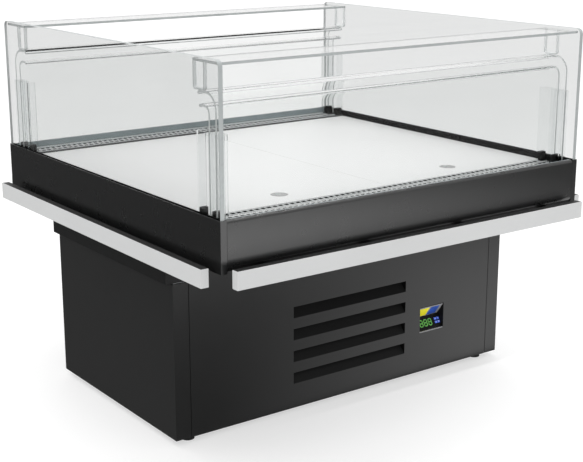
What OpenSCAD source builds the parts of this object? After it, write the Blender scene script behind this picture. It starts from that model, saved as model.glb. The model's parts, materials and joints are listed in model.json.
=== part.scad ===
// Island display chiller: louvred base with the condensing unit, shallow insulated
// tub with a white lift-out deck, clear screens and bumper rails on all four sides.
// Origin: centre of the footprint on the floor. +X along the front, -Y is the front.

/* [Tub] */
// Width of the tub, left to right
tub_w = 1500; // [1400:10:1600]
// Depth of the tub, front to back
tub_d = 1460; // [1360:10:1560]
// Height of the tub's sides
tub_h = 160; // [150:5:180]
// Height of the rim above the floor
rim_z = 830; // [800:5:860]
// How far the deck lies below the rim
deck_drop = 21; // [18:1:26]
// Thickness of the outer steel sheet
sheet = 2; // [1.5:0.5:2.5]

/* [Base] */
// Width of the base
base_w = 1442; // [1380:2:1460]
// Depth of the base
base_d = 803; // [700:1:860]
// Height of the base panels above the floor
base_lift = 21; // [18:1:30]
// Height of the side panels' top edge above the floor
side_top = 553; // [540:1:570]
// How far the support frame stands out past each side panel
frame_step = 23; // [15:1:26]

/* [Louvres and controller] */
// Length of a louvre slot
slot_w = 505; // [400:5:560]
// Height of a louvre slot
slot_h = 40; // [30:1:44]
// Distance from one louvre slot to the next
slot_pitch = 79.2; // [70:0.2:84]
// Height of the lowest louvre slot above the floor
slot_z = 109.5; // [100:0.5:120]
// Distance from the middle of the front to the middle of the controller window
window_x = 382; // [340:1:420]
// Height of the middle of the controller window
window_z = 221; // [200:1:240]
// Width of the controller window
window_w = 116; // [100:1:130]
// Height of the controller window
window_h = 98; // [90:1:110]

/* [Screens] */
// Height of the top edge of the side glasses above the floor
glass_top = 1289; // [1250:1:1320]
// Thickness of the side glasses
glass_t = 15.8; // [12:0.2:16]
// Thickness of the bent front and rear screens
screen_t = 8; // [6:0.5:8]
// Height of the crest of the outer bent screens
outer_crest = 1191; // [1160:1:1200]
// Height of the crest of the inner bent screens
inner_crest = 1151; // [1120:1:1158]
// Height of the top of the corner channels
channel_top = 1073; // [1000:1:1090]

/* [Bumper rails] */
// How far the rails' outer faces stand out from the tub
bumper_out = 53.4; // [45:0.2:60]
// Thickness of a rail
bumper_t = 27.6; // [22:0.2:30]
// Height of a rail
bumper_h = 57.4; // [50:0.2:64]
// Height of the rails' lower edge above the floor
bumper_z = 632.3; // [625:0.1:640]

/* [Hidden] */
$fn = 64;
hx = tub_w / 2;
hy = tub_d / 2;
tub_z = rim_z - tub_h;
deck_z = rim_z - deck_drop;
bx = base_w / 2;
by = base_d / 2;
corner_w = 57;              // front and rear returns of the side panels
frame_z = side_top + 2;     // underside of the support frame, where the base frame's posts end
post = 40;                  // square tube of the base frame's posts
post_x = bx - 4;            // outer faces of the posts
post_y = by - 4;
joint_gap = 0.1;            // between a rail of the base frame and its post
frame_x = bx + frame_step;
rail_top_z = 52;            // top of the lower frame rails, where the machine tray lies
thin = 1.5;                 // sheet of the trays, the liner, the grilles and the louvre blades
unit_z = rail_top_z + thin; // floor of the machine tray
over = 1;                   // how far a cutting body runs past what it cuts
foot_x = bx - 70;
foot_y = by - 45;
pad_r = 22;                 // round pad of a foot
pad_h = 9;
stud_r = 6;
stud_len = 34;
thread_gap = 0.05;
louvre_depth = 34;
louvre_z = [for (i = [0:3]) slot_z + i * slot_pitch];   // lower edges of the slots
return_w = 22;              // front and rear returns of the tub's side sheet
bend_r = 28;                // radius under the tub's front and rear skins
lip_r = 10;                 // radius at the top of those skins
duct_y = hy - 16;           // outer face of the stainless duct plates
glass_gap = 0.2;
glass_x = hx - sheet - glass_gap - glass_t;   // inner face of a side glass
glass_y = hy - 4.2;
rail_x = glass_x - 3.5;     // inner face of the glass rails
liner_x = hx - 60;
liner_y = hy - 58;
liner_z = tub_z + 42;
lip_z = rim_z - 40;         // top of the foam, where the liner's lip lies
deck_y = hy - 152;
deck_t = 3;
deck_gap = 0.6;
flange_z = lip_z + 1.8;
cup_r = 29;
cup_x = hx / 2 - 11;
cup_y = -(hy - 255);
grille_in = hy - 150;
grille_pitch = 22;
grille_rows = [67, 100, 133];   // distance of each row of slots from the tub's face
wall_x = rail_x - 4;        // inner face of the corner channels' side walls
screen_x = wall_x - 0.3;
outer_y = 44;               // distance of each screen's outer face from the tub's face
inner_y = 80;
screen_z = deck_z + 6;
strip_z = glass_top - 16;
strip_t = 8;
strip_y0 = 14;
strip_y1 = 158;
channel_ribs = [[37, 42], [54, 58], [74, 78], [90, 94], [144, 148]];
channel_w = 31;
hanger_y0 = 96;
hanger_t = 6;
hanger_w = 10;
cover_t = 3.4;
bumper_in = bumper_out - bumper_t;
bumper_ex = hx - 21;
bumper_ey = hy - 26;
coil_x1 = 230;              // half width of the condenser coil
coil_y0 = -by + 45;         // its front and rear faces
coil_y1 = -by + 95;
fan_z = 245;
fan_y = -by + 140;
fan_r = 140;
motor_r = 34;
motor_shaft_r = 4;
gland_x = -540;
gland_z = 120;
gland_r = 10;
box_low = [-350, 60];       // corners of the electrical box
box_high = [-190, 160];
box_h = 130;
drip_x = [-640, -380];      // ends of the drip tray
drip_y = 180;
drip_h = 60;
tilt = -30;                 // slope of the display, facing up to a standing person
display_z = window_z - 22;
display_y = -by + sheet + 19;
key_w = 10;
key_h = 9;
key_pitch = 13;
key_gap = 0.3;
keys_x = window_x + 38;
drain_x = -500;
drain_y = 0;
drain_r = 12;
suction = [470, 84];
liquid = [504, 28];
suction_r = 8;
liquid_r = 5;
receiver_r = 24;
receiver_h = 62;
coil_x = 440;               // half length of the coil under the deck
coil_tubes_y = [-84, -28, 28, 84];
coil_tubes_z = [liner_z + 22, liner_z + 48];
coil_tube_r = 6;
blower_r = 27;
blower_len = 480;
blower_y = -330;
blower_z = liner_z + 40;
comp_x = 300;
comp_y = suction[1];
comp_r = 88;
comp_h = 150;
port_x = comp_x + comp_r + 10;
port_z = rail_top_z + 138;

// ---- helpers ----

module block(x0, x1, y0, y1, z0, z1)
    translate([x0, y0, z0]) cube([x1 - x0, y1 - y0, z1 - z0]);

module both_x() {
    children();
    mirror([1, 0, 0]) children();
}

module both_y() {
    children();
    mirror([0, 1, 0]) children();
}

module four_corners() both_y() both_x() children();

// A (y, z) outline swept along X, centred on the middle of the tub
module along_x(length)
    translate([-length / 2, 0, 0]) rotate([90, 0, 90]) linear_extrude(length) children();

// A quarter or smaller part of a bent sheet, between two angles less than 180 apart
module bend(centre, r, t, from, to)
    translate(centre) intersection() {
        difference() {
            circle(r);
            circle(r - t);
        }
        polygon([
            [0, 0],
            [2 * r * cos(from), 2 * r * sin(from)],
            [2 * r * cos((from + to) / 2), 2 * r * sin((from + to) / 2)],
            [2 * r * cos(to), 2 * r * sin(to)]
        ]);
    }

// ---- base ----

module machine_tray() color("lightgrey") {
    tray_x = bx - corner_w - 4;
    tray_y = by - 6;
    top_z = rail_top_z + 22;
    difference() {
        block(-tray_x, tray_x, -tray_y, tray_y, rail_top_z, top_z);
        block(-tray_x - over, tray_x + over, -tray_y + thin, tray_y - thin, unit_z, top_z + over);
    }
}

// Hollow post of the base frame with the threaded plate of its foot
module frame_post() {
    wall = 3;
    plate = 30;
    plate_z0 = base_lift + 3;
    plate_z1 = base_lift + 8;
    boss_h = 10;
    difference() {
        union() {
            difference() {
                block(post_x - post, post_x, post_y - post, post_y, plate_z0, frame_z);
                block(post_x - post + wall, post_x - wall, post_y - post + wall, post_y - wall,
                    plate_z1, frame_z + over);
            }
            block(foot_x - plate, post_x, foot_y - plate, post_y, plate_z0, plate_z1);
            translate([foot_x, foot_y, plate_z1]) cylinder(r = 2 * stud_r, h = boss_h);
        }
        translate([foot_x, foot_y, 0]) cylinder(r = stud_r + thread_gap, h = plate_z1 + 2 * boss_h);
    }
}

// Four posts with two rings of rails between them
module base_frame() color("dimgrey") {
    four_corners() frame_post();
    rail_x1 = post_x - post - joint_gap;
    rail_y1 = post_y - post - joint_gap;
    rail_out = 3;
    rail_in = 25;
    for (z = [[base_lift + 9, rail_top_z], [side_top - 26, side_top - 1]]) {
        both_y() block(-rail_x1, rail_x1, post_y - rail_in, post_y - rail_out, z[0], z[1]);
        both_x() block(post_x - rail_in, post_x - rail_out, -rail_y1, rail_y1, z[0], z[1]);
    }
}

module foot(sx, sy) color("black") translate([sx * foot_x, sy * foot_y, 0]) {
    nut_z = pad_h + 3;
    cylinder(r = pad_r, h = pad_h);
    translate([0, 0, pad_h]) cylinder(r1 = pad_r, r2 = pad_r - 8, h = 4);
    translate([0, 0, nut_z]) cylinder(r = stud_r + 4, h = 6, $fn = 6);
    translate([0, 0, nut_z]) cylinder(r = stud_r, h = stud_len);
}

// Louvred sheet: slots with blades pressed inward from their lower edges
module louvred_sheet() {
    tip_z = slot_h - 5;
    difference() {
        block(-bx + corner_w + 2, bx - corner_w - 2, -by, -by + sheet, base_lift, tub_z - 0.5);
        for (z = louvre_z)
            block(-slot_w / 2, slot_w / 2, -by - over, -by + sheet + over, z, z + slot_h);
    }
    for (z = louvre_z) translate([0, -by, z]) {
        along_x(slot_w) polygon([
            [0, 0], [sheet, -1], [louvre_depth, tip_z], [louvre_depth - thin, tip_z + thin]
        ]);
        both_x() translate([slot_w / 2 - thin, 0, 0]) rotate([90, 0, 90]) linear_extrude(thin)
            polygon([[0, 0], [louvre_depth - thin, tip_z + thin], [0.5, slot_h + 1], [0, slot_h]]);
    }
}

module front_panel() color([0.14, 0.14, 0.14]) difference() {
    louvred_sheet();
    block(window_x - window_w / 2, window_x + window_w / 2, -by - 1, -by + sheet + 1,
        window_z - window_h / 2, window_z + window_h / 2);
}

module rear_panel() color([0.14, 0.14, 0.14]) difference() {
    mirror([0, 1, 0]) louvred_sheet();
    translate([gland_x, by - 10, gland_z]) rotate([-90, 0, 0]) cylinder(r = gland_r + 0.1, h = 20);
}

// One sheet folded round both corners of the base
module side_panel() color([0.16, 0.16, 0.16]) {
    block(bx - sheet, bx, -by, by, base_lift, side_top);
    both_y() block(bx - corner_w, bx, by - sheet, by, base_lift, side_top);
}

module left_side_panel() mirror([1, 0, 0]) side_panel();
module right_side_panel() side_panel();

// Folded channel ring that carries the tub
module support_frame() color([0.17, 0.17, 0.17]) {
    fy = by - sheet - 1;
    wall = 2.5;
    side_w = 66;
    end_w = 44;
    difference() {
        block(-frame_x, frame_x, -fy, fy, frame_z, tub_z);
        block(-frame_x + wall, frame_x - wall, -fy + wall, fy - wall, frame_z + wall, tub_z - wall);
        block(-frame_x + side_w, frame_x - side_w, -fy + end_w, fy - end_w, frame_z - over, tub_z + over);
    }
}

// ---- condensing unit ----

// Shell on a foot plate with four rubber mounts, terminal box and suction port
module compressor() color([0.1, 0.1, 0.1]) {
    mount_h = 14;
    plate_z = unit_z + mount_h;
    shell_z = plate_z + 3;
    box_z = unit_z + 60;
    block(comp_x - 115, comp_x + 115, comp_y - 80, comp_y + 80, plate_z, shell_z);
    for (sx = [-1, 1], sy = [-1, 1])
        translate([comp_x + sx * 98, comp_y + sy * 62, unit_z]) cylinder(r = 13, h = mount_h);
    translate([comp_x, comp_y, shell_z]) rotate_extrude() {
        square([comp_r, comp_h]);
        translate([0, comp_h]) intersection() {
            circle(comp_r);
            square([comp_r, comp_r * 0.62]);
        }
    }
    block(comp_x - 150, comp_x - comp_r + 6, comp_y - 32, comp_y + 32, box_z, box_z + 70);
    translate([comp_x, comp_y, port_z]) rotate([0, 90, 0]) cylinder(r = 12, h = port_x - comp_x);
}

module finned_coil(half_x, y0, y1, z0, z1, fins, tube_y, tube_z, r) {
    for (i = [0:fins - 1]) {
        fx = -half_x + 8 + i * (2 * half_x - 17) / (fins - 1);
        block(fx, fx + 1, y0, y1, z0, z1);
    }
    for (ty = tube_y, tz = tube_z)
        translate([-half_x, ty, tz]) rotate([0, 90, 0]) cylinder(r = r, h = 2 * half_x);
}

module condenser_coil() color("silver")
    finned_coil(half_x = coil_x1, y0 = coil_y0, y1 = coil_y1, z0 = 75, z1 = 410, fins = 26,
        tube_y = [coil_y0 + 13, coil_y1 - 13], tube_z = [100:70:380], r = 5);

module fan_shroud() color([0.2, 0.2, 0.2]) {
    ring_r = fan_r + 12;
    bore_r = fan_r + 9;
    ring_h = 50;
    difference() {
        union() {
            block(-coil_x1 - 2, coil_x1 + 2, coil_y1, coil_y1 + 2, unit_z, 412);
            translate([0, coil_y1, fan_z]) rotate([-90, 0, 0]) cylinder(r = ring_r, h = ring_h);
        }
        translate([0, coil_y1 - over, fan_z]) rotate([-90, 0, 0]) cylinder(r = bore_r, h = ring_h + 10);
    }
    // four arms hold the motor behind the fan
    for (a = [45:90:315])
        translate([0, coil_y1 + ring_h - 6, fan_z]) rotate([0, a, 0])
            block(motor_r, ring_r - 1, 0, 5, -6, 6);
}

// Motor with a relief round its shaft
module fan_motor() color([0.12, 0.12, 0.12]) translate([0, fan_y - 2, fan_z]) rotate([-90, 0, 0]) {
    difference() {
        translate([0, 0, 4]) cylinder(r = motor_r, h = 62);
        translate([0, 0, 3]) cylinder(r = 3 * motor_shaft_r, h = 4);
    }
    translate([0, 0, -30]) cylinder(r = motor_shaft_r, h = 40);
}

module condenser_fan() color([0.25, 0.25, 0.28]) translate([0, fan_y, fan_z]) {
    difference() {
        union() {
            translate([0, -33, 0]) rotate([-90, 0, 0]) cylinder(r = 32, h = 28);
            for (a = [0:72:288])
                rotate([0, a, 0]) translate([28, -19, 0]) rotate([28, 0, 0])
                    block(0, fan_r - 31, -1.2, 1.2, -24, 24);
        }
        translate([0, -34, 0]) rotate([-90, 0, 0]) cylinder(r = motor_shaft_r + 0.05, h = 60);
    }
}

// Open box with a lid that laps over its walls
module electrical_box() color("lightgrey") {
    wall = 2;
    top_z = unit_z + box_h;
    difference() {
        block(box_low[0], box_high[0], box_low[1], box_high[1], unit_z, top_z);
        block(box_low[0] + wall, box_high[0] - wall, box_low[1] + wall, box_high[1] - wall,
            unit_z + wall, top_z + over);
    }
    block(box_low[0] - wall, box_high[0] + wall, box_low[1] - wall, box_high[1] + wall, top_z, top_z + 3);
}

module drip_tray() color("silver") difference() {
    block(drip_x[0], drip_x[1], -drip_y, drip_y, unit_z, unit_z + drip_h);
    block(drip_x[0] + thin, drip_x[1] - thin, -drip_y + thin, drip_y - thin,
        unit_z + thin, unit_z + drip_h + over);
}

// Pipe from the sump of the inner liner down into the drip tray, with a flange on top
module drain_pipe() color("white") translate([drain_x, drain_y, 0]) difference() {
    end_z = 90;
    top_z = liner_z + thin;
    union() {
        translate([0, 0, end_z]) cylinder(r = drain_r, h = top_z - end_z);
        translate([0, 0, top_z]) cylinder(r = drain_r + 8, h = 2);
    }
    translate([0, 0, end_z - over]) cylinder(r = drain_r - 2, h = top_z);
}

// Suction and liquid lines from the unit up to the coil under the deck, and the receiver
module refrigerant_pipes() color([0.72, 0.45, 0.2]) {
    translate([port_x, suction[1], port_z]) rotate([0, 90, 0])
        cylinder(r = suction_r, h = suction[0] - port_x);
    translate([suction[0], suction[1], port_z]) {
        sphere(r = suction_r);
        cylinder(r = suction_r, h = coil_tubes_z[0] - port_z);
    }
    translate([suction[0], suction[1], coil_tubes_z[0]]) sphere(r = suction_r);
    translate([coil_x, suction[1], coil_tubes_z[0]]) rotate([0, 90, 0])
        cylinder(r = coil_tube_r, h = suction[0] - coil_x);
    translate([liquid[0], liquid[1], unit_z]) {
        cylinder(r = receiver_r, h = receiver_h);
        cylinder(r = liquid_r, h = coil_tubes_z[1] - unit_z);
    }
    translate([liquid[0], liquid[1], coil_tubes_z[1]]) sphere(r = liquid_r);
    translate([coil_x, liquid[1], coil_tubes_z[1]]) rotate([0, 90, 0])
        cylinder(r = liquid_r, h = liquid[0] - coil_x);
}

// Hexagon flange and dome outside the rear sheet, threaded neck inside, bore for the cord
module cable_gland() color([0.08, 0.08, 0.08]) translate([gland_x, by, gland_z]) rotate([-90, 0, 0])
    difference() {
        union() {
            cylinder(r = gland_r + 5, h = 6, $fn = 6);
            translate([0, 0, 5]) cylinder(r = gland_r + 1.5, h = 10);
            translate([0, 0, -12]) cylinder(r = gland_r, h = 13);
        }
        translate([0, 0, -12 - over]) cylinder(r = gland_r / 2, h = 30);
    }

// ---- controller ----

module on_display(x, z) translate([x, display_y, display_z]) rotate([tilt, 0, 0]) translate([0, 0, z])
    children();

module key_row(i) on_display(keys_x + (i % 2) * key_pitch, 6 - floor(i / 2) * key_pitch) children();

// Recess behind the window: a short hood above and the sloping display below
module controller_body() color([0.06, 0.06, 0.06]) {
    cy = -by + sheet;
    sill = window_z - window_h / 2 + 3;
    fold = window_z + 1;
    difference() {
        block(window_x - window_w / 2 - 6, window_x + window_w / 2 + 6, cy, cy + 52,
            window_z - window_h / 2 - 6, window_z + window_h / 2 + 6);
        translate([window_x, 0, 0]) along_x(window_w) polygon([
            [cy - 1, window_z + window_h / 2 - 1],
            [display_y - (fold - display_z) * tan(tilt), fold],
            [display_y - (sill - display_z) * tan(tilt), sill],
            [cy - 1, sill]
        ]);
        for (i = [0:3]) key_row(i)
            block(-key_w / 2 - key_gap, key_w / 2 + key_gap, -12, 8,
                -key_h / 2 - key_gap, key_h / 2 + key_gap);
        on_display(window_x - 16, -1) block(-38, 38, -2, 1, -20, 20);
    }
}

module display_lens() color([0.02, 0.05, 0.03]) on_display(window_x - 16, -1)
    block(-37.9, 37.9, -0.9, 0.9, -19.9, 19.9);

module key(i) color([0.25, 0.4, 0.9]) key_row(i)
    block(-key_w / 2, key_w / 2, -2.2, 4, -key_h / 2, key_h / 2);

// ---- tub ----

module pipe_holes(z0, z1) {
    translate([suction[0], suction[1], z0]) cylinder(r = suction_r + 4, h = z1 - z0);
    translate([liquid[0], liquid[1], z0]) cylinder(r = liquid_r + 4, h = z1 - z0);
    translate([drain_x, drain_y, z0]) cylinder(r = drain_r + 0.05, h = z1 - z0);
}

// Sides and floor of the tub's outer casing, one folded sheet
module tub_wrap() color([0.13, 0.13, 0.13]) difference() {
    union() {
        block(-hx, hx, -hy + bend_r + 4, hy - bend_r - 4, tub_z, tub_z + sheet);
        both_x() {
            block(hx - sheet, hx, -hy, hy, tub_z, rim_z);
            both_y() block(hx - return_w, hx, hy - sheet, hy, tub_z, rim_z);
        }
    }
    pipe_holes(tub_z - 1, tub_z + sheet + 1);
}

module skin() color([0.2, 0.2, 0.2]) along_x(tub_w - 2 * return_w - 1) {
    bend([-hy + lip_r, rim_z - lip_r], lip_r, sheet, 90, 180);
    translate([-hy + lip_r, rim_z - sheet]) square([hy - duct_y - lip_r - 0.2, sheet]);
    translate([-hy, tub_z + bend_r]) square([sheet, tub_h - bend_r - lip_r]);
    bend([-hy + bend_r, tub_z + bend_r], bend_r, sheet, 180, 270);
    translate([-hy + bend_r, tub_z]) square([3.5, sheet]);
}

module tub_front_skin() skin();
module tub_rear_skin() mirror([0, 1, 0]) skin();

module glass_rails() color([0.05, 0.05, 0.05]) both_x() {
    block(rail_x, rail_x + 3, -glass_y - 1, glass_y + 1, tub_z + 30, rim_z);
    block(rail_x, hx - sheet, -glass_y - 1, glass_y + 1, tub_z + 30, tub_z + 34);
}

module insulation() color([0.9, 0.85, 0.6]) difference() {
    union() {
        block(-rail_x + 0.5, rail_x - 0.5, -duct_y + 2.5, duct_y - 2.5, tub_z + bend_r + 4, lip_z);
        block(-rail_x + 0.5, rail_x - 0.5, -hy + bend_r + 4, hy - bend_r - 4,
            tub_z + sheet, tub_z + bend_r + 5);
    }
    block(-liner_x, liner_x, -liner_y, liner_y, liner_z, lip_z + 1);
    pipe_holes(tub_z, liner_z + 1);
}

// Inner tray with a lip all round and a ridge that carries the middle of the deck
module inner_liner() color([0.75, 0.76, 0.78]) difference() {
    union() {
        difference() {
            union() {
                block(-liner_x, liner_x, -liner_y, liner_y, liner_z, lip_z);
                block(-rail_x + 1, rail_x - 1, -duct_y + 3, duct_y - 3, lip_z, lip_z + 1.5);
            }
            block(-liner_x + 1.5, liner_x - 1.5, -liner_y + 1.5, liner_y - 1.5, liner_z + 1.5, lip_z + 2);
        }
        for (span = [[-deck_y + 4, blower_y - 42], [140, deck_y - 4]]) difference() {
            block(-20, 20, span[0], span[1], liner_z, lip_z + 1.5);
            block(-18.5, 18.5, span[0] + 1.5, span[1] - 1.5, liner_z - 1, lip_z);
        }
    }
    pipe_holes(liner_z - 1, liner_z + 5);
}

module duct_plate() color([0.47, 0.51, 0.53]) {
    block(-hx + return_w + 0.5, hx - return_w - 0.5, -duct_y, -duct_y + 2, tub_z + bend_r, rim_z);
}

module front_duct_plate() duct_plate();
module rear_duct_plate() mirror([0, 1, 0]) duct_plate();

// Half of the white deck: a folded panel with a hole for its lift cup
module deck_right() color("white") difference() {
    block(deck_gap, rail_x - 1, -deck_y, deck_y, flange_z, deck_z);
    block(deck_gap + deck_t, rail_x - 1 - deck_t, -deck_y + deck_t, deck_y - deck_t,
        flange_z - 1, deck_z - deck_t);
    translate([cup_x, cup_y, flange_z]) cylinder(r = cup_r, h = 30);
}

module deck_left() mirror([1, 0, 0]) deck_right();

// Shallow round finger cup pressed into a deck panel
module lift_cup_right() color([0.6, 0.6, 0.6]) translate([cup_x, cup_y, 0]) difference() {
    translate([0, 0, deck_z - 12]) cylinder(r = cup_r - 0.1, h = 11.6);
    translate([0, 9, deck_z - 8]) cylinder(r = 9, h = 10);
}

module lift_cup_left() mirror([1, 0, 0]) lift_cup_right();

module grille() color([0.62, 0.64, 0.65]) {
    gx = hx - return_w - 0.8;
    gy = duct_y - 2.5;
    count = floor((2 * gx - 60) / grille_pitch);
    difference() {
        block(-gx, gx, -gy, -grille_in, flange_z, deck_z);
        block(-gx - 1, gx + 1, -gy + 1.5, -grille_in - 1.5, flange_z - 1, deck_z - 1.5);
        for (row = [0:2], i = [0:count - 1]) {
            sx = (i - (count - 1) / 2 + (row % 2) / 2 - 0.25) * grille_pitch;
            block(sx - 6.5, sx + 6.5, -hy + grille_rows[row] - 7.5, -hy + grille_rows[row] + 7.5,
                deck_z - 3, deck_z + 1);
        }
    }
}

module front_grille() grille();
module rear_grille() mirror([0, 1, 0]) grille();

module evaporator_coil() color("silver")
    finned_coil(half_x = coil_x, y0 = -110, y1 = 110, z0 = liner_z + 1.5, z1 = liner_z + 62, fins = 30,
        tube_y = coil_tubes_y, tube_z = coil_tubes_z, r = coil_tube_r);

// Cross-flow rotor: a drum of narrow blades between discs, on one shaft
module evaporator_blower() color([0.3, 0.3, 0.32])
    translate([0, blower_y, blower_z]) rotate([0, 90, 0]) {
        for (z = [-blower_len / 2, -1.5, blower_len / 2 - 3])
            translate([0, 0, z]) cylinder(r = blower_r, h = 3);
        for (a = [0:30:330])
            rotate([0, 0, a]) translate([0, 0, -blower_len / 2])
                block(blower_r - 9, blower_r - 1, -0.8, 0.8, 0, blower_len);
        translate([0, 0, -blower_len / 2 - 24]) cylinder(r = 4, h = blower_len + 48);
    }

// Two end cheeks with shaft bores, the guide plate behind the drum and the motor
module blower_housing() color([0.16, 0.16, 0.16]) {
    hz = liner_z + 1.5;
    difference() {
        union() {
            for (sx = [-1, 1])
                translate([sx * (blower_len / 2 + 8), 0, 0])
                    block(-3, 3, blower_y - 36, blower_y + 36, hz, hz + 72);
            block(-blower_len / 2 - 6, blower_len / 2 + 6, blower_y + 34, blower_y + 36, hz, hz + 30);
            translate([blower_len / 2 + 10, blower_y, blower_z]) rotate([0, 90, 0]) cylinder(r = 28, h = 60);
        }
        translate([0, blower_y, blower_z]) rotate([0, 90, 0])
            cylinder(r = 4.05, h = blower_len + 60, center = true);
    }
}

// ---- screens ----

module side_glass() color([0.85, 0.9, 0.92, 0.3]) {
    corner_r = 20;
    z0 = tub_z + 34.5;
    translate([glass_x, 0, 0]) rotate([90, 0, 90]) linear_extrude(glass_t) {
        translate([-glass_y, z0]) square([2 * glass_y, glass_top - corner_r - z0]);
        translate([-glass_y + corner_r, z0]) square([2 * (glass_y - corner_r), glass_top - z0]);
        for (s = [-1, 1]) translate([s * (glass_y - corner_r), glass_top - corner_r]) circle(corner_r);
    }
}

module right_side_glass() side_glass();
module left_side_glass() mirror([1, 0, 0]) side_glass();

module top_strip() color([0.85, 0.9, 0.92, 0.3])
    block(-glass_x + glass_gap, glass_x - glass_gap, -hy + strip_y0, -hy + strip_y1,
        strip_z, strip_z + strip_t);

module front_top_strip() top_strip();
module rear_top_strip() mirror([0, 1, 0]) top_strip();

// Upright sheet bent over at the top, with a rolled lip; flat is the level run after the bend
module bent_screen(face, crest, r, flat, lip) color([0.85, 0.9, 0.92, 0.3]) along_x(2 * screen_x) {
    y0 = -hy + face;
    translate([y0, screen_z]) square([screen_t, crest - r - screen_z]);
    bend([y0 + r, crest - r], r, screen_t, 90, 180);
    translate([y0 + r, crest - screen_t]) square([flat, screen_t]);
    bend([y0 + r + flat, crest - lip], lip, screen_t, 30, 90);
}

module outer_screen() bent_screen(face = outer_y, crest = outer_crest, r = 55, flat = 31, lip = 20);
module inner_screen() bent_screen(face = inner_y, crest = inner_crest, r = 28, flat = 20, lip = 14);

module front_outer_screen() outer_screen();
module rear_outer_screen() mirror([0, 1, 0]) outer_screen();
module front_inner_screen() inner_screen();
module rear_inner_screen() mirror([0, 1, 0]) inner_screen();

// Clear comb profiles that hold the ends of both bent screens in each corner
module corner_channels() color([0.85, 0.9, 0.92, 0.3]) four_corners() {
    block(wall_x, rail_x - 0.2, hy - 148, hy - 37, deck_z, channel_top);
    for (rib = channel_ribs)
        block(rail_x - channel_w, wall_x + 1, hy - rib[1], hy - rib[0], deck_z, channel_top);
}

// Clear U-shaped hangers between the top strips and the crests of the outer screens
module strip_hangers() color([0.85, 0.9, 0.92, 0.3]) four_corners()
    translate([glass_x - glass_gap - hanger_w, 0, 0]) rotate([90, 0, 90]) linear_extrude(hanger_w) {
        r = 10;
        y0 = hy - strip_y1;
        y1 = hy - hanger_y0;
        z0 = outer_crest + 0.5;
        translate([y0, z0 + r]) square([hanger_t, strip_z - z0 - r]);
        translate([y1 - hanger_t, z0 + r]) square([hanger_t, strip_z - z0 - r]);
        translate([y0 + r, z0]) square([y1 - y0 - 2 * r, hanger_t]);
        bend([y0 + r, z0 + r], r, hanger_t, 180, 270);
        bend([y1 - r, z0 + r], r, hanger_t, 270, 360);
    }

// Black rests under the ends of the screens and black wedges between the ribs
module setting_blocks() color([0.03, 0.03, 0.03]) four_corners() {
    x1 = wall_x - 0.2;
    for (face = [outer_y, inner_y])
        block(x1 - 24, x1, hy - face - screen_t, hy - face, deck_z, screen_z);
    for (span = [[58.2, 73.8], [128, 143.8]])
        block(x1 - 22, x1, hy - span[1], hy - span[0], deck_z, deck_z + 34);
}

// ---- bumper rails ----

module carrier(half, face, arms) {
    difference() {
        block(-half + 3, half - 3, -face - bumper_out + cover_t, -face - bumper_in,
            bumper_z, bumper_z + bumper_h);
        block(-half, half, -face - bumper_out + cover_t + 2.5, -face - bumper_in - 2.5,
            bumper_z + 2.5, bumper_z + bumper_h - 2.5);
    }
    for (a = arms) block(a - 20, a + 20, -face - bumper_in, -face + 60, tub_z - 5.5, tub_z);
}

// Dark hollow profiles with welded arms that bolt up under the tub
module bumper_carriers() color([0.18, 0.18, 0.18]) {
    both_y() carrier(bumper_ex, hy, [-600, -200, 200, 600]);
    both_x() rotate([0, 0, 90]) carrier(bumper_ey, hx, [-620, -440, 440, 620]);
}

// Light cover over the face and both ends of a carrier
module cover(half, face) color([0.82, 0.83, 0.83]) {
    y0 = -face - bumper_out;
    block(-half, half, y0, y0 + cover_t, bumper_z, bumper_z + bumper_h);
    both_x() block(half - 3, half, y0, -face - bumper_in, bumper_z, bumper_z + bumper_h);
}

module bumper_front() cover(bumper_ex, hy);
module bumper_rear() mirror([0, 1, 0]) cover(bumper_ex, hy);
module bumper_right() rotate([0, 0, 90]) cover(bumper_ey, hx);
module bumper_left() mirror([1, 0, 0]) bumper_right();

machine_tray();
base_frame();
foot(-1, -1);  // foot_front_left
foot(1, -1);  // foot_front_right
foot(-1, 1);  // foot_rear_left
foot(1, 1);  // foot_rear_right
front_panel();
rear_panel();
left_side_panel();
right_side_panel();
support_frame();
compressor();
condenser_coil();
fan_shroud();
fan_motor();
condenser_fan();
electrical_box();
drip_tray();
drain_pipe();
refrigerant_pipes();
cable_gland();
controller_body();
display_lens();
key(0);  // key_set
key(1);  // key_up
key(2);  // key_down
key(3);  // key_defrost
tub_wrap();
tub_front_skin();
tub_rear_skin();
glass_rails();
insulation();
inner_liner();
front_duct_plate();
rear_duct_plate();
deck_left();
deck_right();
lift_cup_left();
lift_cup_right();
front_grille();
rear_grille();
evaporator_coil();
evaporator_blower();
blower_housing();
left_side_glass();
right_side_glass();
front_top_strip();
rear_top_strip();
front_outer_screen();
front_inner_screen();
rear_outer_screen();
rear_inner_screen();
corner_channels();
strip_hangers();
setting_blocks();
bumper_carriers();
bumper_front();
bumper_rear();
bumper_left();
bumper_right();
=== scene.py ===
"""Looks of an island display chiller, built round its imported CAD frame.

Metres, in the frame of the part: the origin is on the floor in the middle, +X runs right
along the front, -Y is the front and +Z is up.
"""

import json
import math

import bmesh
import bpy
from mathutils import Matrix, Vector


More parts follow.
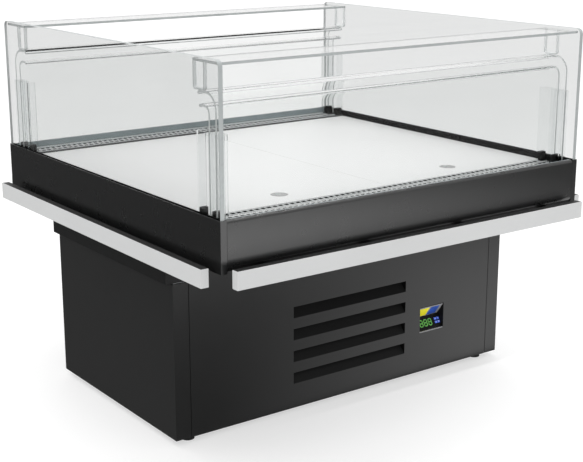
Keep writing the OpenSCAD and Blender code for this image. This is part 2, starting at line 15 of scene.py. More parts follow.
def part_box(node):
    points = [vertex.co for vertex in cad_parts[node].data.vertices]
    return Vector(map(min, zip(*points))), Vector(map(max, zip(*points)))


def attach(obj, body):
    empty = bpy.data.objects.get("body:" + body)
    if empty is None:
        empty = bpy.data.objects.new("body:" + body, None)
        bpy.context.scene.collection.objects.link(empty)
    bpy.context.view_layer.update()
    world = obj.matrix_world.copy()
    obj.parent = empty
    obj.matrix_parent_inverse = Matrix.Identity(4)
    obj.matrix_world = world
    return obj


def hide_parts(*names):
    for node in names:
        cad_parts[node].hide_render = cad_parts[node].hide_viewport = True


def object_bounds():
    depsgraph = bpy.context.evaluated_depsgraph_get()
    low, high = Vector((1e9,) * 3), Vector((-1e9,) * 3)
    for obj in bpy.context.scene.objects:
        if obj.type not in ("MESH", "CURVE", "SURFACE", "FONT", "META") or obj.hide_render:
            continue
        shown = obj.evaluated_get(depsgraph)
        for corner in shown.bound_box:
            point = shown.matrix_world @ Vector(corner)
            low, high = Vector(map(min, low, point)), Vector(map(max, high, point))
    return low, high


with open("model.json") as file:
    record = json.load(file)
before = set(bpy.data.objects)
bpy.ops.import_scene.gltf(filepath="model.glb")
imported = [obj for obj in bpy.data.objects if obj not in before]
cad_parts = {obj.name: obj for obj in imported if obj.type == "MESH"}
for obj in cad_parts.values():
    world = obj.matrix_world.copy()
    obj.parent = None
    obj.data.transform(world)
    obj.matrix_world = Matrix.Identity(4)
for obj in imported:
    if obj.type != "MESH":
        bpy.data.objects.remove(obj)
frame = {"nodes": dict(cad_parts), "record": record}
cad_low, cad_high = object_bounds()
scene = bpy.context.scene

# Camera: seen from the front left, a little above the screens
CAMERA_AZIMUTH = -36.03
CAMERA_ELEVATION = 14.96
CAMERA_DISTANCE = 4.6
AIM_OFFSET = Vector((0.023, -0.012, -0.118))    # from the middle of the object
LENS_MM = 76.3
CLIP_END = 200.0

# Light: strength of the white surroundings, and what gloss shows of the studio
SKY = 1.08
SKY_BEHIND_GLASS = 0.94
DIM = 0.1                   # gloss below the horizon
UPPER = 0.9                 # gloss above the horizon
HORIZON = (-1.0, 4.0)       # elevations between which the one turns into the other
FLOOR_RADIUS = 60.0
FLOOR_GLOW = 0.56
GLOW_BEHIND_GLASS = 0.43
CARD_Z = 0.002              # height of the glowing cards above the floor
BOUNCES = 32                # enough for a ray to cross every screen

# Grain and patches of the materials
NOISE_LOW = 0.3             # nearly all of a noise lies between these two
NOISE_HIGH = 0.7
PATCH_DETAIL = 4.0
SMEAR_SCALE = 5             # smears in the gloss are this many times finer than patches of colour
GRAIN_DEPTH = 0.0002

# Clean-up of a CAD node's mesh
WELD = 1e-6                 # corners closer than this are joined,
FLAT = math.radians(0.3)    # and so are faces that meet at less than this

# Rounding: radii of edges, and the steps in an arc
CREASE = math.radians(30)   # edges sharper than this are rounded
BEND_STEPS = 16
LIP_STEPS = 8
CORNER_STEPS = 12
FOOT_STEPS = 8
TOP_STEPS = 6
EDGE_FOIL = 0.0001
EDGE_THIN = 0.0004
EDGE_SHEET = 0.0005
EDGE_SCREEN = 0.0006
EDGE_FOLD = 0.0008
EDGE_THICK = 0.0012
EDGE_SOFT = 0.0015

# Directions of faces: the least that a normal has of an axis
SQUARE_TO = 0.9             # for a face square to that axis
TOWARDS = 0.5               # for one that points more or less along it
DOWN = -0.3                 # and the most of Z that a face of the underside has

# Screens
SCREEN_T = 0.008
OUTER_BEND = 0.055
INNER_BEND = 0.028
OUTER_LIP = 0.020
INNER_LIP = 0.014
LIP_SWEEP = 60.0            # degrees that a screen's lip turns down
GLASS_CORNER = 0.020

# Tub
SHEET_T = 0.002
SKIN_TOP_R = 0.010
SKIN_FOOT_R = 0.028
SKIN_TOP_DEPTH = 0.0158     # from the face of the skin to the end of its rolled top
RIM_MARGIN = 0.0005         # faces this close to the top of the tub are its rim
CUP_RIM = 0.001             # deeper than this a lift cup is hollow
LIP_T = 0.0015              # lip of the rear grille along the deck
LIP_H = 0.006
LIP_START = 0.001           # faces higher than this above the grille belong to its lip

# Base
LAP_NEAR = 0.0001           # a seam's lap lies between these two depths behind the sheet
LAP_FAR = 0.0009
LAP_INWARD = 0.01           # how far a lap reaches past the edge of the sheet, to either side
LAP_OUTWARD = 0.012
LAP_FOOT = 0.004
BLADE_START = 0.001         # deeper than this behind the sheet its faces belong to the blades

# Controller
DISPLAY_TILT = math.radians(30)
WINDOW_RIM = 0.006          # how far the controller's body reaches past its window
LENS_HALF_T = 0.0011
FIGURE_HALF_W = 0.0068
FIGURE_HALF_H = 0.0118
FIGURE_PITCH = 0.0215
FIGURE_SHIFT = 0.004        # the figures stand a little right of the middle
SEGMENT_W = 0.0036
SEGMENT_T = 0.0006
SEGMENT_CUT = 0.4           # an upright segment is shorter than half a figure by this part of its width
FOLD_BACK = 0.0323          # depth of the fold between the upper plate and the display
FOLD_RISE = 0.001           # from the middle of the controller up to that fold
HOOD_DROP = 0.0024          # from the top of the window down to the top of the slope
PLATE_SPAN = (0.02, 0.98)   # parts of the slope's height that the plate covers
PLATE_MARGIN = 0.001
PLATE_T = 0.0005
FIELD_SPAN = (0.06, 0.86)
FIELD_LEFT = 0.002
FIELD_SPLIT = 0.46          # part of the width where the left field ends
FIELD_GAP = 0.006
FIELD_RIGHT = 0.014
FIELD_FACE = 0.0007         # from the slope to the face of a field
SILL_T = 0.0004
SILL_H = 0.003
SILL_DEPTH = 0.005
SILL_GAP = 0.0005
KEY_FACE = 0.0031           # from the middle of a key to its face
MARK_R = 0.0024
MARK_T = 0.0006


# ---- materials ----

MATERIALS = {}


class Tree:
    """Short names for building the node tree of a material or of the world."""

    def __init__(self, owner):
        owner.use_nodes = True
        self.owner = owner
        self.nodes = owner.node_tree.nodes
        self.links = owner.node_tree.links

    def put(self, socket, value):
        """Links an output to a socket, or sets the socket's own value."""
        if isinstance(value, bpy.types.NodeSocket):
            self.links.new(value, socket)
        else:
            socket.default_value = value

    def node(self, kind, settings=None, **inputs):
        made = self.nodes.new(kind)
        for key, value in (settings or {}).items():
            setattr(made, key, value)
        for key, value in inputs.items():
            self.put(made.inputs[key.replace("_", " ")], value)
        return made

    def shader(self, **inputs):
        """Sets or links sockets of the material's own shader."""
        for key, value in inputs.items():
            self.put(self.nodes["Principled BSDF"].inputs[key.replace("_", " ")], value)

    def coords(self):
        """Places on the object, in metres."""
        return self.node("ShaderNodeTexCoord").outputs["Object"]

    def noise(self, where, scale, detail=2.0):
        return self.node("ShaderNodeTexNoise", Vector=where, Scale=scale, Detail=detail).outputs["Fac"]

    def ranged(self, noise, low=0.0, high=1.0):
        """Spreads a noise over the range from low to high."""
        return self.node("ShaderNodeMapRange", Value=noise, From_Min=NOISE_LOW, From_Max=NOISE_HIGH,
                         To_Min=low, To_Max=high).outputs["Result"]

    def blend(self, factor, first, second):
        return self.node("ShaderNodeMix", {"data_type": "RGBA"}, Factor=factor, A=(*first, 1.0),
                         B=(*second, 1.0)).outputs["Result"]

    def bump(self, height, strength, distance):
        made = self.node("ShaderNodeBump", Height=height, Strength=strength, Distance=distance)
        self.shader(Normal=made.outputs["Normal"])

    def ends_in(self, output):
        """Makes an output the surface that the material shows."""
        self.put(self.nodes["Material Output"].inputs["Surface"], output)


def material_tree(name):
    """The node tree of a new material, which MATERIALS keeps under its name."""
    MATERIALS[name] = bpy.data.materials.new(name)
    return Tree(MATERIALS[name])


def scaled(colour, factor):
    return tuple(min(1.0, c * factor) for c in colour)


def surface(name, colour, roughness, vary=0.08, patch=3.0, grain=700.0, bump=0.1, rough_vary=0.05, **sockets):
    """A solid surface: patchy colour and roughness, and a fine grain in its relief."""
    t = material_tree(name)
    where = t.coords()
    patches = t.ranged(t.noise(where, patch, PATCH_DETAIL))
    smears = t.noise(where, patch * SMEAR_SCALE)
    t.shader(Base_Color=t.blend(patches, scaled(colour, 1 - vary), scaled(colour, 1 + vary)),
             Roughness=t.ranged(smears, roughness - rough_vary, roughness + rough_vary), **sockets)
    t.bump(t.noise(where, grain), bump, GRAIN_DEPTH)


def spangled(name, colour, roughness, cell=90.0, tones=(0.82, 1.12), rough_vary=0.08, grain=400.0, bump=0.08):
    """Zinc-coated sheet: flakes of slightly different grey and gloss."""
    t = material_tree(name)
    where = t.coords()
    flakes = t.node("ShaderNodeTexVoronoi", Vector=where, Scale=cell)
    tone = t.node("ShaderNodeSeparateColor", Color=flakes.outputs["Color"]).outputs["Red"]
    t.shader(Base_Color=t.blend(tone, scaled(colour, tones[0]), scaled(colour, tones[1])),
             Roughness=t.ranged(tone, roughness - rough_vary, roughness + rough_vary), Metallic=1.0)
    t.bump(t.noise(where, grain), bump, GRAIN_DEPTH)


def cellular(name, colour, roughness=0.9, cell=450.0, tones=(1.1, 0.7), bump=0.5, depth=0.001):
    """Rigid foam with open cells on its cut faces."""
    t = material_tree(name)
    cells = t.node("ShaderNodeTexVoronoi", Vector=t.coords(), Scale=cell).outputs["Distance"]
    t.shader(Base_Color=t.blend(cells, scaled(colour, tones[0]), scaled(colour, tones[1])),
             Roughness=roughness)
    t.bump(cells, bump, depth)


def clear(name, tint, roughness, ior, clearness=1.0, vary=0.015, patch=2.5, detail=3.0):
    """Glass or acrylic, which lets the rays of lamps through."""
    t = material_tree(name)
    patches = t.ranged(t.noise(t.coords(), patch, detail))
    t.shader(Base_Color=t.blend(patches, scaled(tint, 1 - vary), tint), Roughness=roughness, IOR=ior,
             Transmission_Weight=clearness)
    mix = t.node("ShaderNodeMixShader", Fac=t.node("ShaderNodeLightPath").outputs["Is Shadow Ray"])
    t.put(mix.inputs[1], t.nodes["Principled BSDF"].outputs["BSDF"])
    t.put(mix.inputs[2], t.node("ShaderNodeBsdfTransparent", Color=(*tint, 1.0)).outputs["BSDF"])
    t.ends_in(mix.outputs["Shader"])


def glowing(name, colour, strength, roughness=0.4, tones=(0.75, 1.1), patch=120.0):
    """A lit segment, a little brighter in places."""
    t = material_tree(name)
    patches = t.ranged(t.noise(t.coords(), patch))
    tone = t.blend(patches, scaled(colour, tones[0]), scaled(colour, tones[1]))
    t.shader(Base_Color=tone, Emission_Color=tone, Emission_Strength=strength, Roughness=roughness)


# Base, feet, tub and bumpers
surface("base_black", (0.017, 0.0172, 0.0172), 0.3, vary=0.03, rough_vary=0.015, grain=900.0, bump=0.12,
        Specular_IOR_Level=0.42)
# painted shade: a darker copy of the base's black for the support frame
surface("frame_painted_shade", (0.01, 0.0102, 0.0102), 0.4, vary=0.03, grain=900.0, Specular_IOR_Level=0.3)
surface("blade_black", (0.012, 0.0122, 0.0122), 0.5, vary=0.05, grain=900.0, Specular_IOR_Level=0.08)
surface("tub_black", (0.007, 0.0072, 0.0073), 0.28, vary=0.03, rough_vary=0.01, grain=900.0, bump=0.012,
        Specular_IOR_Level=0.8)
surface("foot_rubber", (0.012, 0.012, 0.012), 0.75, grain=500.0, bump=0.3)
surface("carrier_dark", (0.022, 0.022, 0.022), 0.5, grain=700.0, Specular_IOR_Level=0.2)
surface("bumper_light", (0.55, 0.555, 0.555), 0.45, vary=0.02, grain=900.0, bump=0.1, Specular_IOR_Level=0.06)
# Display space: rails, ducts, grilles and deck
# matte black for rails and undersides, and also painted shade on the base's seam laps and louvre cheeks
surface("matte_black_and_painted_shade", (0.006, 0.006, 0.006), 0.6, vary=0.05, grain=900.0, Specular_IOR_Level=0.05)
surface("duct_steel", (0.41, 0.47, 0.49), 0.45, vary=0.02, grain=900.0, bump=0.03, Specular_IOR_Level=0.2)
surface("grille_steel", (0.36, 0.37, 0.37), 0.4, vary=0.02, grain=900.0, bump=0.03, Specular_IOR_Level=0.2)
# painted shade: dark grey for the rear grille's lip along the deck
surface("lip_painted_shade", (0.1, 0.101, 0.102), 0.6, vary=0.05, grain=900.0, Specular_IOR_Level=0.1)
# painted shade: near-black for the grilles' slots and the parts under them
surface("painted_shade_under_slots", (0.03, 0.031, 0.032), 0.7, vary=0.1, patch=8.0, Specular_IOR_Level=0.1)
surface("deck_white", (0.66, 0.66, 0.66), 0.42, vary=0.015, patch=2.0, grain=500.0, bump=0.05)
surface("cup_grey", (0.3, 0.3, 0.3), 0.5, grain=1500.0)
# Screens, and the cut edges that their faces and some others take
clear("clear_glass", (0.955, 0.96, 0.958), 0.0, 1.12)
clear("thick_glass", (0.82, 0.827, 0.825), 0.0, 1.12)
clear("clear_acrylic", (0.945, 0.952, 0.952), 0.02, 1.12)
clear("frosted_acrylic", (0.8, 0.815, 0.815), 0.35, 1.2, 0.6)
surface("glass_edge", (0.34, 0.362, 0.362), 0.3, vary=0.04, patch=6.0, grain=1200.0, bump=0.05)
# lighter edge: the cut ends of screens and strips, and painted light on the side panes' rear edges, the lift
# cups' hollows and the tub's side rims
surface("cut_edge_and_painted_light", (0.7, 0.72, 0.72), 0.3, vary=0.04, patch=6.0, grain=1200.0, bump=0.05)
# Controller, its signs and the small plastic pieces
surface("white_plastic", (0.75, 0.75, 0.73), 0.45)
surface("black_plastic", (0.008, 0.008, 0.008), 0.55, grain=1800.0, bump=0.2, Specular_IOR_Level=0.12)
surface("display_glass", (0.004, 0.005, 0.004), 0.25, grain=200.0, bump=0.02, Specular_IOR_Level=0.1)
# the keys glow faintly: painted light that brightens their blue
surface("key_blue", (0.05, 0.11, 0.62), 0.3, vary=0.25, patch=90.0, grain=2000.0,
        Emission_Color=(0.12, 0.25, 1.0, 1.0), Emission_Strength=0.25)
surface("decal_yellow", (0.95, 0.85, 0.01), 0.35, vary=0.05, patch=60.0)
surface("decal_blue", (0.02, 0.08, 0.4), 0.35, vary=0.2, patch=60.0)
surface("plate_grey", (0.32, 0.32, 0.33), 0.4, vary=0.05, patch=40.0)
glowing("digit_green", (0.09, 0.36, 0.05), 0.4)
# Inside the base and under the deck
spangled("galvanised", (0.42, 0.43, 0.44), 0.42)
cellular("foam", (0.72, 0.62, 0.36))
surface("unit_black", (0.012, 0.012, 0.012), 0.25, grain=300.0, Coat_Weight=0.3)
surface("coil_aluminium", (0.6, 0.61, 0.62), 0.35, grain=1200.0, Metallic=1.0)
surface("fan_plastic", (0.03, 0.03, 0.033), 0.5, grain=1500.0)
surface("pipe_copper", (0.72, 0.36, 0.22), 0.28, vary=0.15, patch=12.0, Metallic=1.0)
# Studio
surface("floor", (0.45, 0.45, 0.45), 0.6, vary=0.01, patch=0.5, grain=80.0, bump=0.02,
        Emission_Color=(1.0, 1.0, 1.0, 1.0))


# ---- building pieces ----

def body_of(node):
    bodies = frame["record"]["behaviour"]["bodies"]
    return next(body for body, members in bodies.items() if node in members)


def slot_of(node):
    return next(s["material_slot"] for s in frame["record"]["subparts"] if s["node"] == node)


def smooth(mesh):
    """Smooth faces with sharp edges kept sharp."""
    for face in mesh.polygons:
        face.use_smooth = True
    bm = bmesh.new()
    bm.from_mesh(mesh)
    for edge in bm.edges:
        edge.smooth = not (edge.is_manifold and edge.calc_face_angle() > CREASE)
    bm.to_mesh(mesh)
    bm.free()


def add(name, bm, material, body="root", round_to=0.0, segments=2):
    """Makes an object from bm, rounds its sharp edges, and lets it ride on a body."""
    bmesh.ops.recalc_face_normals(bm, faces=bm.faces)
    mesh = bpy.data.meshes.new(name)
    bm.to_mesh(mesh)
    bm.free()
    smooth(mesh)
    mesh.materials.append(MATERIALS[material])
    piece = bpy.data.objects.new(name, mesh)
    scene.collection.objects.link(piece)
    if round_to:
        bevel = piece.modifiers.new("rounding", "BEVEL")
        bevel.width = round_to
        bevel.segments = segments
        bevel.limit_method = "ANGLE"
        bevel.angle_limit = CREASE
        bevel.harden_normals = True
    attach(piece, body)
    return piece


def rounded(node, round_to, segments=2, material=None, laps=()):
    """A copy of a CAD node with its edges rounded, and any laps added, which is shown in its place."""
    bm = bmesh.new()
    bm.from_mesh(frame["nodes"][node].data)
    bmesh.ops.remove_doubles(bm, verts=bm.verts, dist=WELD)
    bmesh.ops.dissolve_limit(bm, angle_limit=FLAT, verts=bm.verts, edges=bm.edges)
    for low, high in laps:
        add_box(bm, low, high)
    slot = slot_of(node)
    piece = add(node + "_rounded", bm, material or slot, body_of(node), round_to, segments)
    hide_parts(node)
    return piece


def add_box(bm, low, high):
    corners = bmesh.ops.create_cube(bm, size=1.0)["verts"]
    low, high = Vector(low), Vector(high)
    bmesh.ops.scale(bm, vec=high - low, verts=corners)
    bmesh.ops.translate(bm, vec=(low + high) / 2, verts=corners)
    return bm


def arc(centre, radius, start, end, steps):
    """Points (y, z) round a centre, from one angle to another in degrees."""
    angles = [math.radians(start + (end - start) * i / steps) for i in range(steps + 1)]
    return [(centre[0] + radius * math.cos(a), centre[1] + radius * math.sin(a)) for a in angles]


def as_if_in_front(node):
    """The Y of a node's outer and inner side, mirrored if it's at the rear, and whether it is."""
    low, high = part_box(node)
    if low.y + high.y > 0:
        return -high.y, -low.y, True
    return low.y, high.y, False


def swept(outline, x0, x1, flip=False):
    """A closed (y, z) outline carried from x0 to x1, for the front, or flipped for the rear."""
    bm = bmesh.new()
    side = -1.0 if flip else 1.0
    ends = [[bm.verts.new((x, side * y, z)) for y, z in outline] for x in (x0, x1)]
    bm.faces.new(ends[0])
    bm.faces.new(reversed(ends[1]))
    count = len(outline)
    for i in range(count):
        j = (i + 1) % count
        bm.faces.new((ends[0][i], ends[1][i], ends[1][j], ends[0][j]))
    return bm


def finish_edges(piece, material, is_edge):
    """Gives some faces of a piece, such as the cut edges of a sheet, their own material."""
    mesh = piece.data
    mesh.materials.append(MATERIALS[material])
    for face in mesh.polygons:
        if is_edge(face):
            face.material_index = len(mesh.materials) - 1


# ---- screens ----

def bent_screen(node, bend_r, lip_r):
    """Upright clear sheet that bends over and ends in a rolled lip."""
    low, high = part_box(node)
    outer_y, inner_y, rear = as_if_in_front(node)
    lip_angle = 90.0 - LIP_SWEEP
    bend = (outer_y + bend_r, high.z - bend_r)
    lip = (inner_y - lip_r * math.cos(math.radians(lip_angle)), high.z - lip_r)
    outside = arc(bend, bend_r, 180, 90, BEND_STEPS) + arc(lip, lip_r, 90, lip_angle, LIP_STEPS)
    inside = arc(lip, lip_r - SCREEN_T, lip_angle, 90, LIP_STEPS)
    inside += arc(bend, bend_r - SCREEN_T, 90, 180, BEND_STEPS)
    outline = [(outer_y, low.z)] + outside + inside + [(outer_y + SCREEN_T, low.z)]
    piece = add(node + "_sheet", swept(outline, low.x, high.x, rear), "clear_glass", round_to=EDGE_SCREEN)
    # swept makes the two ends first, and then one face for each side of the outline
    lip_end = 2 + len(outside)
    finish_edges(piece, "cut_edge_and_painted_light", lambda face: abs(face.normal.x) > SQUARE_TO)
    finish_edges(piece, "glass_edge", lambda face: face.index == lip_end)
    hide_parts(node)


def side_glass(node):
    """Thick side pane with round upper corners and polished, eased edges, the rear edge painted lighter as
    painted light against its shade.
    """
    low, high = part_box(node)
    r = GLASS_CORNER
    outline = [(low.y, low.z)] + arc((low.y + r, high.z - r), r, 180, 90, CORNER_STEPS)
    outline += arc((high.y - r, high.z - r), r, 90, 0, CORNER_STEPS) + [(high.y, low.z)]
    piece = add(node + "_pane", swept(outline, low.x, high.x), "thick_glass",
                round_to=EDGE_THICK)
    finish_edges(piece, "glass_edge", lambda face: abs(face.normal.x) < TOWARDS)
    # painted light: the rear edge is lighter than the other edges
    finish_edges(piece, "cut_edge_and_painted_light", lambda face: face.normal.y > TOWARDS)
    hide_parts(node)


def screens():
    for end in ("front", "rear"):
        bent_screen(end + "_outer_screen", OUTER_BEND, OUTER_LIP)
        bent_screen(end + "_inner_screen", INNER_BEND, INNER_LIP)
        strip = rounded(end + "_top_strip", EDGE_THICK)
        finish_edges(strip, "cut_edge_and_painted_light", lambda face: abs(face.normal.x) > SQUARE_TO)
        finish_edges(strip, "glass_edge", lambda face: abs(face.normal.y) > SQUARE_TO)
    for side in ("left", "right"):
        side_glass(side + "_side_glass")
    channels = rounded("corner_channels", EDGE_SHEET)
    finish_edges(channels, "glass_edge", lambda face: face.normal.z > SQUARE_TO)
    rounded("strip_hangers", EDGE_FOLD, material="frosted_acrylic")


# ---- tub ----

def tub_skin(node):
    """Outer sheet of the tub's front or rear, rolled in at the top and bent under at the foot."""
    low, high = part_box(node)
    outer_y, inner_y, rear = as_if_in_front(node)
    top = (outer_y + SKIN_TOP_R, high.z - SKIN_TOP_R)
    foot = (outer_y + SKIN_FOOT_R, low.z + SKIN_FOOT_R)
    top_end = outer_y + SKIN_TOP_DEPTH
    outside = arc(foot, SKIN_FOOT_R, 270, 180, FOOT_STEPS) + arc(top, SKIN_TOP_R, 180, 90, TOP_STEPS)
    inside = arc(top, SKIN_TOP_R - SHEET_T, 90, 180, TOP_STEPS)
    inside += arc(foot, SKIN_FOOT_R - SHEET_T, 180, 270, FOOT_STEPS)
    outline = [(inner_y, low.z)] + outside + [(top_end, high.z), (top_end, high.z - SHEET_T)] + inside
    outline += [(inner_y, low.z + SHEET_T)]
    piece = add(node + "_sheet", swept(outline, low.x, high.x, rear), "tub_black", round_to=EDGE_THIN)
    finish_edges(piece, "matte_black_and_painted_shade", lambda face: face.normal.z < DOWN)
    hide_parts(node)


def deck(side):
    """Half of the deck, and its lift cup, whose hollow is painted light grey against the shade in it."""
    rounded("deck_" + side, EDGE_THICK, 3)
    cup = rounded("lift_cup_" + side, EDGE_FOLD)
    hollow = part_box("lift_cup_" + side)[1].z - CUP_RIM
    # painted light: the hollow is light grey against its shade
    finish_edges(cup, "cut_edge_and_painted_light", lambda face: face.center.z < hollow)


def grille(end):
    """Air grille whose slots are painted near-black as their shade. The rear one has a lip along the deck,
    painted dark grey as its shade.
    """
    low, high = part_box(end + "_grille")
    lip = ((low.x, low.y, high.z - LIP_T), (high.x, low.y + LIP_T, high.z + LIP_H))
    plate = rounded(end + "_grille", 0.0, laps=[lip] if end == "rear" else ())
    # painted shade: faces that don't look up are near-black
    finish_edges(plate, "painted_shade_under_slots", lambda face: face.normal.z < TOWARDS)
    # painted shade: the lip is dark grey
    finish_edges(plate, "lip_painted_shade", lambda face: face.center.z > high.z + LIP_START)


def tub():
    tub_skin("tub_front_skin")
    tub_skin("tub_rear_skin")
    wrap = rounded("tub_wrap", EDGE_THIN)
    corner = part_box("tub_wrap")[1]
    rim, side_x = corner.z - RIM_MARGIN, corner.x - SHEET_T
    # painted highlight: the wrap's top faces along the sides are light grey, a bright line on the rim
    finish_edges(wrap, "cut_edge_and_painted_light", lambda face: face.center.z > rim and abs(face.center.x) > side_x)
    rounded("glass_rails", EDGE_SHEET, material="matte_black_and_painted_shade")
    for side in ("left", "right"):
        deck(side)
    for end in ("front", "rear"):
        rounded(end + "_duct_plate", EDGE_THIN)
        grille(end)
    for side in ("front", "rear", "left", "right"):
        rounded("bumper_" + side, EDGE_SOFT, 3)
    rounded("bumper_carriers", EDGE_FOLD)


# ---- base ----

def seam_laps(panel):
    """Thin strips that lap behind the seams at both ends of a louvred sheet."""
    low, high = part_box(panel)
    outward = -1.0 if low.y + high.y < 0 else 1.0
    back = outward * (max(abs(low.y), abs(high.y)) - SHEET_T)
    y0, y1 = sorted((back - outward * LAP_NEAR, back - outward * LAP_FAR))
    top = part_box("left_side_panel")[1].z
    strips = []
    for side, edge in ((-1.0, low.x), (1.0, high.x)):
        x0, x1 = sorted((edge - side * LAP_INWARD, edge + side * LAP_OUTWARD))
        strips.append(((x0, y0, low.z + LAP_FOOT), (x1, y1, top)))
    return strips


def louvred_sheet(panel):
    """Front or rear sheet of the base, with duller blades, and near-black painted shade on the cheeks beside
    them and on the laps behind its seams.
    """
    low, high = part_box(panel)
    back = max(abs(low.y), abs(high.y)) - SHEET_T
    seam, behind = back - LAP_NEAR / 2, back - BLADE_START
    sheet = rounded(panel, EDGE_SHEET, laps=seam_laps(panel))
    # painted shade: the laps behind the seams are near-black
    finish_edges(sheet, "matte_black_and_painted_shade", lambda face: behind < abs(face.center.y) < seam)
    finish_edges(sheet, "blade_black", lambda face: abs(face.center.y) < behind)
    # painted shade: the cheeks beside the blades are near-black
    finish_edges(sheet, "matte_black_and_painted_shade",
                 lambda face: abs(face.center.y) < behind and abs(face.normal.x) > SQUARE_TO)


def base():
    for side in ("left", "right"):
        rounded(side + "_side_panel", EDGE_FOLD)
    # painted shade: the support frame takes a darker copy of the base's black
    rounded("support_frame", EDGE_THICK, material="frame_painted_shade")
    for panel in ("front_panel", "rear_panel"):
        louvred_sheet(panel)
    for key in ("key_set", "key_up", "key_down", "key_defrost"):
        rounded(key, EDGE_FOLD, 3)


# ---- controller ----

# Column and row of each segment's middle in a figure, and whether it lies level
SEGMENTS = ((0, 1, True), (0, 0, True), (0, -1, True),
            (-1, 0.5, False), (1, 0.5, False), (-1, -0.5, False), (1, -0.5, False))


def digits():
    """Three lit seven-segment figures on the display, every segment on."""
    low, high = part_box("display_lens")
    lying = Vector((2 * FIGURE_HALF_W - SEGMENT_W, SEGMENT_T, SEGMENT_W))
    upright = Vector((SEGMENT_W, SEGMENT_T, FIGURE_HALF_H - SEGMENT_W * SEGMENT_CUT))
    bm = bmesh.new()
    for place in (-1, 0, 1):
        for column, row, level in SEGMENTS:
            half = (lying if level else upright) / 2
            x = place * FIGURE_PITCH + FIGURE_SHIFT + column * FIGURE_HALF_W
            where = Vector((x, 0.0, row * FIGURE_HALF_H))
            add_box(bm, where - half, where + half)
    turn = Matrix.Rotation(-DISPLAY_TILT, 4, "X")
    # the lens leans back: its front face is half its thickness out along its own normal
    face = (low + high) / 2 + turn @ Vector((0.0, -LENS_HALF_T, 0.0))
    bmesh.ops.transform(bm, matrix=Matrix.Translation(face) @ turn, verts=bm.verts)
    add("display_digits", bm, "digit_green")


def on_slope(bm, origin, up, out):
    """Moves a flat piece, drawn in X and Y, onto a plane that rises along up and faces out."""
    turn = Matrix((Vector((1.0, 0.0, 0.0)), up, out)).transposed().to_4x4()
    bmesh.ops.transform(bm, matrix=Matrix.Translation(origin) @ turn, verts=bm.verts)
    return bm


def hood_plate():
    """Light plate on the slope above the display, with a plain yellow and a plain blue field."""
    low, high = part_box("controller_body")
    left, right = low.x + WINDOW_RIM, high.x - WINDOW_RIM
    fold = Vector((0.0, low.y + FOLD_BACK, (low.z + high.z) / 2 + FOLD_RISE))
    rise = Vector((0.0, low.y, high.z - WINDOW_RIM - HOOD_DROP)) - fold
    up = rise.normalized()
    out = Vector((0.0, -up.z, up.y))
    split = left + FIELD_SPLIT * (right - left)
    plate, field = (PLATE_SPAN, 0.0, PLATE_T), (FIELD_SPAN, PLATE_T, FIELD_FACE)
    layers = (("hood_plate", "plate_grey", "cup_grey", left + PLATE_MARGIN, right - PLATE_MARGIN, plate),
              ("hood_field_left", "decal_yellow", "white_plastic", left + FIELD_LEFT, split, field),
              ("hood_field_right", "decal_blue", "key_blue", split + FIELD_GAP, right - FIELD_RIGHT, field))
    for name, material, slot, x0, x1, (span, back, face) in layers:
        bm = add_box(bmesh.new(), (x0, span[0] * rise.length, back), (x1, span[1] * rise.length, face))
        add(name, on_slope(bm, fold, up, out), material, round_to=EDGE_FOIL)


def window_sill():
    """Folded lip along the lower edge of the controller's window, light grey as a painted highlight on its
    upward face.
    """
    low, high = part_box("controller_body")
    foot, sill = low.z + WINDOW_RIM, low.z + WINDOW_RIM + SILL_H
    face, back = low.y - SILL_T, low.y + SILL_DEPTH
    outline = [(face, foot), (face, sill + SILL_T), (back, sill + SILL_T), (back, sill), (low.y, sill),
               (low.y, foot)]
    bm = swept(outline, low.x + WINDOW_RIM + SILL_GAP, high.x - WINDOW_RIM - SILL_GAP)
    # light grey: painted highlight
    add("window_sill", bm, "plate_grey")


# Sides of each key's sign, and its turn in degrees
KEY_MARKS = {"key_set": (4, 45), "key_up": (3, 90), "key_down": (3, 270), "key_defrost": (6, 0)}


def key_marks():
    """A small plain sign on each key."""
    out = Vector((0.0, -math.cos(DISPLAY_TILT), math.sin(DISPLAY_TILT)))
    up = Vector((0.0, math.sin(DISPLAY_TILT), math.cos(DISPLAY_TILT)))
    for key, (sides, turn) in KEY_MARKS.items():
        low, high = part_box(key)
        bm = bmesh.new()
        bmesh.ops.create_cone(bm, cap_ends=True, segments=sides, radius1=MARK_R, radius2=MARK_R,
                              depth=MARK_T, matrix=Matrix.Rotation(math.radians(turn - 90), 4, "Z"))
        centre = (low + high) / 2 + out * KEY_FACE
        add(key + "_mark", on_slope(bm, centre, up, out), "white_plastic", body_of(key))


def controller():
    digits()
    hood_plate()
    window_sill()
    key_marks()


# ---- carried-over nodes ----

# painted shade: these take a near-black in place of their own slot's material, so the slots above them read
# dark
PAINTED_SHADE_NODES = ("inner_liner", "blower_housing")     # they lie under the deck, behind the slots


def finish_frame_nodes():
    """Every CAD node that still shows gets its material, but those under the slots get near-black painted
    shade.
    """
    for name, node in frame["nodes"].items():
        node.data.materials.clear()
        node.data.materials.append(MATERIALS["painted_shade_under_slots" if name in PAINTED_SHADE_NODES else slot_of(name)])


# ---- floor, light and camera ----

def staged(name, bm, material):
    """Makes an object from bm that belongs to the studio."""
    mesh = bpy.data.meshes.new(name)
    bm.to_mesh(mesh)
    bm.free()
    mesh.materials.append(material)
    prop = bpy.data.objects.new(name, mesh)
    scene.collection.objects.link(prop)
    return prop


def floor():
    """Floor that glows a little, less so where it's seen through glass."""
    t = Tree(MATERIALS["floor"])
    behind_glass = t.node("ShaderNodeLightPath").outputs["Is Transmission Ray"]
    glow = t.node("ShaderNodeMapRange", Value=behind_glass, To_Min=FLOOR_GLOW, To_Max=GLOW_BEHIND_GLASS)
    t.shader(Emission_Strength=glow.outputs["Result"])
    bm = bmesh.new()
    bmesh.ops.create_circle(bm, cap_ends=True, radius=FLOOR_RADIUS, segments=96)
    ground = staged("floor", bm, t.owner)
    ground.visible_glossy = False   # gloss shows the studio's dark surroundings, not the white floor


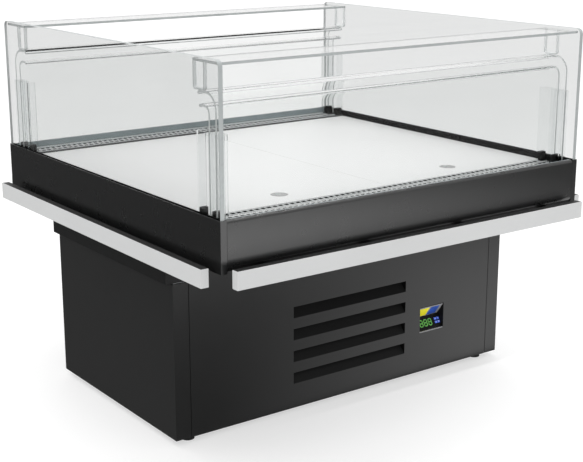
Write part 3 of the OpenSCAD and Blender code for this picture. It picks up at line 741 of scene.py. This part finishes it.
def surroundings():
    """White all round, but gloss shows a studio that is dim below the horizon."""
    world = bpy.data.worlds.new("studio")
    world.cycles.sampling_method = "NONE"
    t = Tree(world)
    where = t.node("ShaderNodeTexCoord").outputs["Generated"]
    height = t.node("ShaderNodeSeparateXYZ", Vector=where).outputs["Z"]
    start, end = (math.sin(math.radians(elevation)) for elevation in HORIZON)
    studio = t.node("ShaderNodeMapRange", {"interpolation_type": "SMOOTHSTEP"}, Value=height,
                    From_Min=start, From_Max=end, To_Min=DIM, To_Max=UPPER)
    rays = t.node("ShaderNodeLightPath").outputs
    seen = t.node("ShaderNodeMapRange", Value=rays["Is Transmission Ray"], To_Min=SKY,
                  To_Max=SKY_BEHIND_GLASS)
    # a ray through glass counts as glossy too, but it shows no mirror image
    mirrored = t.node("ShaderNodeMath", {"operation": "SUBTRACT", "use_clamp": True})
    t.put(mirrored.inputs[0], rays["Is Glossy Ray"])
    t.put(mirrored.inputs[1], rays["Is Transmission Ray"])
    strength = t.node("ShaderNodeMix", Factor=mirrored.outputs["Value"], A=seen.outputs["Result"],
                      B=studio.outputs["Result"])
    background = t.nodes["Background"].inputs
    t.put(background["Color"], (1.0, 1.0, 1.0, 1.0))
    t.put(background["Strength"], strength.outputs["Result"])
    scene.world = world


def softbox(name, place, target, size, power):
    data = bpy.data.lights.new(name, "AREA")
    data.shape = "RECTANGLE"
    data.size, data.size_y = size
    data.energy = power
    lamp = bpy.data.objects.new(name, data)
    lamp.location = place
    lamp.rotation_mode = "QUATERNION"
    lamp.rotation_quaternion = (Vector(target) - Vector(place)).to_track_quat("-Z", "Y")
    scene.collection.objects.link(lamp)


def card(name, middle, size, bright, dark, strength):
    """Glowing card on the floor that only gloss shows: it fades from the point bright to the point dark."""
    bm = bmesh.new()
    bmesh.ops.create_grid(bm, x_segments=1, y_segments=1, size=0.5)
    bmesh.ops.scale(bm, vec=(*size, 1.0), verts=bm.verts)
    bmesh.ops.translate(bm, vec=(*middle, CARD_Z), verts=bm.verts)
    t = material_tree(name)
    way = Vector((*dark, 0.0)) - Vector((*bright, 0.0))
    from_bright = t.node("ShaderNodeVectorMath", {"operation": "SUBTRACT"})
    t.put(from_bright.inputs[0], t.coords())
    t.put(from_bright.inputs[1], (*bright, 0.0))
    along = t.node("ShaderNodeVectorMath", {"operation": "DOT_PRODUCT"})
    t.put(along.inputs[0], from_bright.outputs["Vector"])
    t.put(along.inputs[1], way / way.length_squared)
    fade = t.node("ShaderNodeMapRange", Value=along.outputs["Value"], To_Min=strength, To_Max=0.0)
    t.ends_in(t.node("ShaderNodeEmission", Strength=fade.outputs["Result"]).outputs["Emission"])
    sheet = staged(name, bm, t.owner)
    for ray in ("camera", "diffuse", "transmission", "volume_scatter", "shadow"):
        setattr(sheet, "visible_" + ray, False)


def lights():
    surroundings()
    softbox("overhead", place=(0.0, 0.0, 4.5), target=(cad_low + cad_high) / 2, size=(5.0, 5.0), power=120.0)
    card("card_base", middle=(0.8, -1.2), size=(3.0, 1.5), bright=(0.65, -0.46), dark=(-0.10, -1.045),
         strength=1.5)
    card("card_tub", middle=(2.5, -4.85), size=(7.0, 5.3), bright=(0.7, -3.0), dark=(2.54, -1.62),
         strength=2.3)


def camera():
    data = bpy.data.cameras.new("camera")
    data.lens = LENS_MM
    data.clip_end = CLIP_END
    azimuth, elevation = math.radians(CAMERA_AZIMUTH), math.radians(CAMERA_ELEVATION)
    away = Vector((math.sin(azimuth) * math.cos(elevation), -math.cos(azimuth) * math.cos(elevation),
                   math.sin(elevation)))
    seen_from = bpy.data.objects.new("camera", data)
    seen_from.location = (cad_low + cad_high) / 2 + AIM_OFFSET + away * CAMERA_DISTANCE
    seen_from.rotation_mode = "QUATERNION"
    seen_from.rotation_quaternion = (-away).to_track_quat("-Z", "Y")
    scene.collection.objects.link(seen_from)
    scene.camera = seen_from


def light_paths():
    scene.cycles.max_bounces = BOUNCES
    scene.cycles.transmission_bounces = BOUNCES
    scene.cycles.transparent_max_bounces = BOUNCES
    scene.view_settings.view_transform = "Standard"


finish_frame_nodes()
base()
tub()
screens()
controller()
floor()
lights()
camera()
light_paths()
